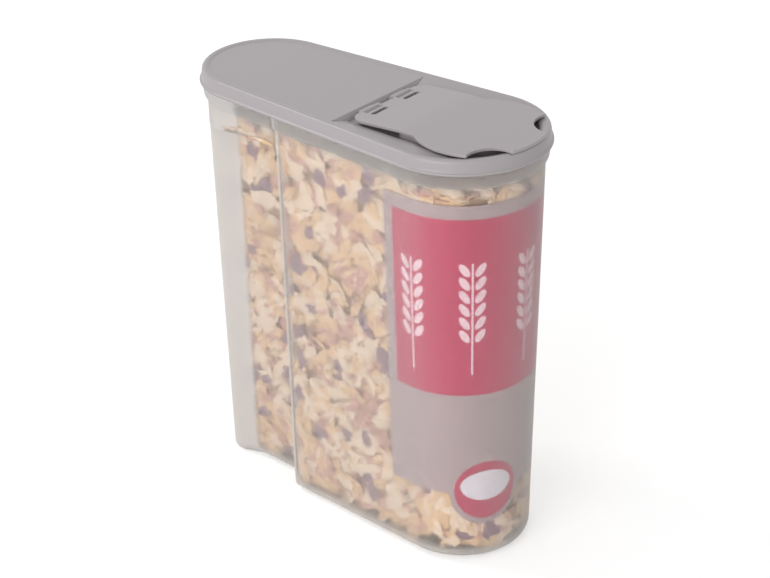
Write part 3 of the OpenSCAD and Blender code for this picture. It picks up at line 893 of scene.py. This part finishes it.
def flakes(rng, count, gap, size, tilt=0.35):
    """Toasted flakes: a bent, ragged disc, thick in the middle. Its rim is a circle with a random
    wave, and its middle is lifted on one side and sunk on the other."""
    k = 7
    place, normal = scatter(rng, count, gap)
    top_place, top_normal = scatter_top(rng, count // 8)
    place, normal = np.concatenate([place, top_place]), np.concatenate([normal, top_normal])
    count = len(place)
    axes = turned(rng, normal, tilt)
    a = np.linspace(0, 2 * math.pi, k, endpoint=False)
    length = rng.uniform(*size, (count, 1))
    ragged = 1 + 0.16 * np.sin(2 * a + rng.uniform(0, 6, (count, 1))) + 0.1 * rng.normal(0, 1, (count, k))
    u = length * ragged * np.cos(a) * 0.5
    v = length * ragged * np.sin(a) * 0.5 * rng.uniform(0.45, 0.8, (count, 1))
    bend = rng.uniform(-0.05, 0.09, (count, 1))
    w = bend * u * u * 0.6
    rim = np.stack([u, v, w], -1)
    inner_up = np.stack([u * 0.55, v * 0.55, w * 0.5 + 0.9], -1)
    inner_low = np.stack([u * 0.55, v * 0.55, w * 0.5 - 0.7], -1)
    zero = np.zeros((count, 1))
    tip_up = np.stack([zero, zero, zero + 1.0], -1)
    tip_low = np.stack([zero, zero, zero - 0.8], -1)
    local = np.concatenate([rim, inner_up, inner_low, tip_up, tip_low], 1)
    world = place[:, None] + np.einsum("nkc,ncd->nkd", local, axes)
    world = kept_inside(world, np.array([[0.5] * 2 * k + [1.4] * k + [0.3, 1.8]]))
    i = np.arange(k)
    j = (i + 1) % k
    quads = np.concatenate([np.stack([i, j, j + k, i + k], -1),
                            np.stack([j, i, i + 2 * k, j + 2 * k], -1)])
    tris = np.concatenate([np.stack([i + k, j + k, 0 * i + 3 * k], -1),
                           np.stack([j + 2 * k, i + 2 * k, 0 * i + 3 * k + 1], -1)])
    return gather(world, quads, tris)


def gather(world, quads, tris):
    """Copies of a small shape as one surface: the faces of the first, shifted for each copy."""
    shift = (np.arange(len(world)) * world.shape[1])[:, None, None]
    s = Surface()
    s.points, s.count = [world.reshape(-1, 3)], world.shape[0] * world.shape[1]
    s.faces = (shift + quads).reshape(-1, 4).tolist() + (shift + tris).reshape(-1, 3).tolist()
    return s


def lumps(rng, count, gap, length, width):
    """Raisins: a few rings from tip to tip, with a random radius at each point."""
    k, rows = 7, 4
    place, normal = scatter(rng, count, gap)
    axes = turned(rng, normal, 0.2)
    a = np.linspace(0, 2 * math.pi, k, endpoint=False)
    t = np.linspace(0.16, 0.84, rows)
    radius = np.sin(math.pi * t)[:, None] ** 0.6 * (1 + 0.14 * rng.normal(0, 1, (count, rows, k)))
    long = rng.uniform(*length, (count, 1, 1))
    wide = rng.uniform(*width, (count, 1, 1)) * 0.5
    u = (t[:, None] - 0.5) * long + 0 * radius
    local = np.stack([u, wide * radius * np.cos(a), wide * 0.8 * radius * np.sin(a)], -1)
    local = local.reshape(count, -1, 3)
    zero = 0 * long[:, 0, 0]
    tips = np.stack([np.stack([s * long[:, 0, 0] * 0.5, zero, zero], -1) for s in (-1, 1)], 1)
    world = place[:, None] + np.einsum("nkc,ncd->nkd", np.concatenate([local, tips], 1), axes)
    world = kept_inside(world, 0.4)
    quads = ring_quads(rows, k)[:, ::-1]
    i = np.arange(k)
    j = (i + 1) % k
    first, last = rows * k, rows * k + 1
    tris = np.concatenate([np.stack([i, j, 0 * i + first], -1),
                           np.stack([j + (rows - 1) * k, i + (rows - 1) * k, 0 * i + last], -1)])
    return gather(world, quads, tris)


# The rigid pieces.
wall = mesh_piece("container_wall", container_wall(), "container", FROSTED)
bevel(wall, 0.9)
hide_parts("container")
lid = mesh_piece("lid_body", lid_body(), "lid", LID_PLASTIC)
bevel(lid, 0.35, 2)
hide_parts("lid")
bevel(mesh_piece("lid_hooks", hinge_hooks(), "lid", LID_PLASTIC), 0.25, 2)
plate = mesh_piece("flap_plate", flap_plate(), "flap", LID_PLASTIC)
bevel(plate, 0.5)
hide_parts("flap")
mesh_piece("flap_bars", hinge_bars(), "flap", LID_PLASTIC)
mesh_piece("flap_plug_ring", flap_underside(), "flap", LID_PLASTIC)
card = mesh_piece("card_sheet", label_card(), "container", card_print())
card_map(card)
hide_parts("label_card")

# The cereal.
rng = np.random.default_rng(7)
heap = grain_material("heap", srgb(232, 204, 176), srgb(204, 168, 142))
mesh_piece("cereal_heap", cereal_core(), "container", heap)
for name, count, gap, size, tone, dark in (
    ("flakes_golden", 1000, 2.8, (14, 23), srgb(236, 208, 172), srgb(222, 186, 148)),
    ("flakes_pale", 1000, 2.4, (14, 22), srgb(240, 224, 206), srgb(230, 206, 182)),
    ("flakes_toasted", 800, 2.8, (12, 20), srgb(222, 182, 166), srgb(196, 152, 140)),
):
    mesh_piece(name, flakes(rng, count, gap, size), "container",
               grain_material(name, tone, dark), sharp=60, merge=0)
mesh_piece("raisins", lumps(rng, 170, 2.2, (12, 18), (7, 11)), "container",
           grain_material("raisin", srgb(168, 140, 148), srgb(142, 116, 126)), sharp=60, merge=0)

# The studio: a pale floor, soft light from all round, a small lamp high up and a broad one in front.
FLOOR_HALF, FLOOR_GLOW, SKY = 6.0, 0.34, 0.64
FLOOR = Shader("studio_floor", (0.93, 0.93, 0.93), 0.9,
               **{"Specular IOR Level": 0.1, "Emission Color": (1, 1, 1)})
FLOOR.set(FLOOR.base, {"Emission Strength": FLOOR.node("ShaderNodeLightPath") * FLOOR_GLOW})
floor_mesh = bpy.data.meshes.new("studio_floor")
floor_corners = [(x * FLOOR_HALF, y * FLOOR_HALF, 0) for x, y in ((-1, -1), (1, -1), (1, 1), (-1, 1))]
floor_mesh.from_pydata(floor_corners, [], [(0, 1, 2, 3)])
floor_mesh.materials.append(FLOOR.material)
floor = bpy.data.objects.new("studio_floor", floor_mesh)
bpy.context.scene.collection.objects.link(floor)

world = bpy.data.worlds.new("studio")
bpy.context.scene.world = world
world.use_nodes = True
tree = world.node_tree
tree.nodes.clear()
sky = tree.nodes.new("ShaderNodeBackground")
seen = tree.nodes.new("ShaderNodeBackground")
rays = tree.nodes.new("ShaderNodeLightPath")
choose = tree.nodes.new("ShaderNodeMixShader")
out = tree.nodes.new("ShaderNodeOutputWorld")
for background, strength in ((sky, SKY), (seen, 1.0)):
    background.inputs["Color"].default_value = (1, 1, 1, 1)
    background.inputs["Strength"].default_value = strength
direct = rays.outputs["Is Camera Ray"]
for ray in ("Is Glossy Ray", "Is Transmission Ray"):
    either = tree.nodes.new("ShaderNodeMath")
    either.operation = "MAXIMUM"
    tree.links.new(direct, either.inputs[0])
    tree.links.new(rays.outputs[ray], either.inputs[1])
    direct = either.outputs[0]
tree.links.new(direct, choose.inputs[0])
tree.links.new(sky.outputs[0], choose.inputs[1])
tree.links.new(seen.outputs[0], choose.inputs[2])
tree.links.new(choose.outputs[0], out.inputs[0])


def lamp(name, place, aim, width, watts):
    """A square soft lamp at a place in metres, turned towards aim."""
    light = bpy.data.lights.new(name, "AREA")
    light.shape, light.size, light.energy = "SQUARE", width, watts
    o = bpy.data.objects.new(name, light)
    o.location = place
    o.rotation_mode = "QUATERNION"
    o.rotation_quaternion = (Vector(aim) - Vector(place)).to_track_quat("-Z", "Y")
    bpy.context.scene.collection.objects.link(o)


LAMP_AIM = (0, 0, 0.12)
lamp("lamp_high", (-1.2, -0.42, 1.5), LAMP_AIM, 0.32, 5)
lamp("lamp_front", (0.3, -1.9, 0.6), LAMP_AIM, 1.5, 18)

# The camera stands where the photograph was taken from.
EYE, AIM = Vector((0.8384, -0.9751, 0.7979)), Vector((-0.0140, 0.0267, 0.1156))
ROLL, LENS = math.radians(-0.88), 120.0
camera_data = bpy.data.cameras.new("camera")
camera_data.lens, camera_data.sensor_width = LENS, 36.0
camera_data.clip_start, camera_data.clip_end = 0.05, 50
camera = bpy.data.objects.new("camera", camera_data)
back = (EYE - AIM).normalized()
right = Vector((0, 0, 1)).cross(back).normalized()
up = back.cross(right)
cos, sin = math.cos(ROLL), math.sin(ROLL)
right, up = right * cos + up * sin, up * cos - right * sin
camera.matrix_world = Matrix(((right.x, up.x, back.x, EYE.x), (right.y, up.y, back.y, EYE.y),
                              (right.z, up.z, back.z, EYE.z), (0, 0, 0, 1)))
bpy.context.scene.collection.objects.link(camera)
bpy.context.scene.camera = camera

bpy.context.scene.view_settings.view_transform = "Standard"
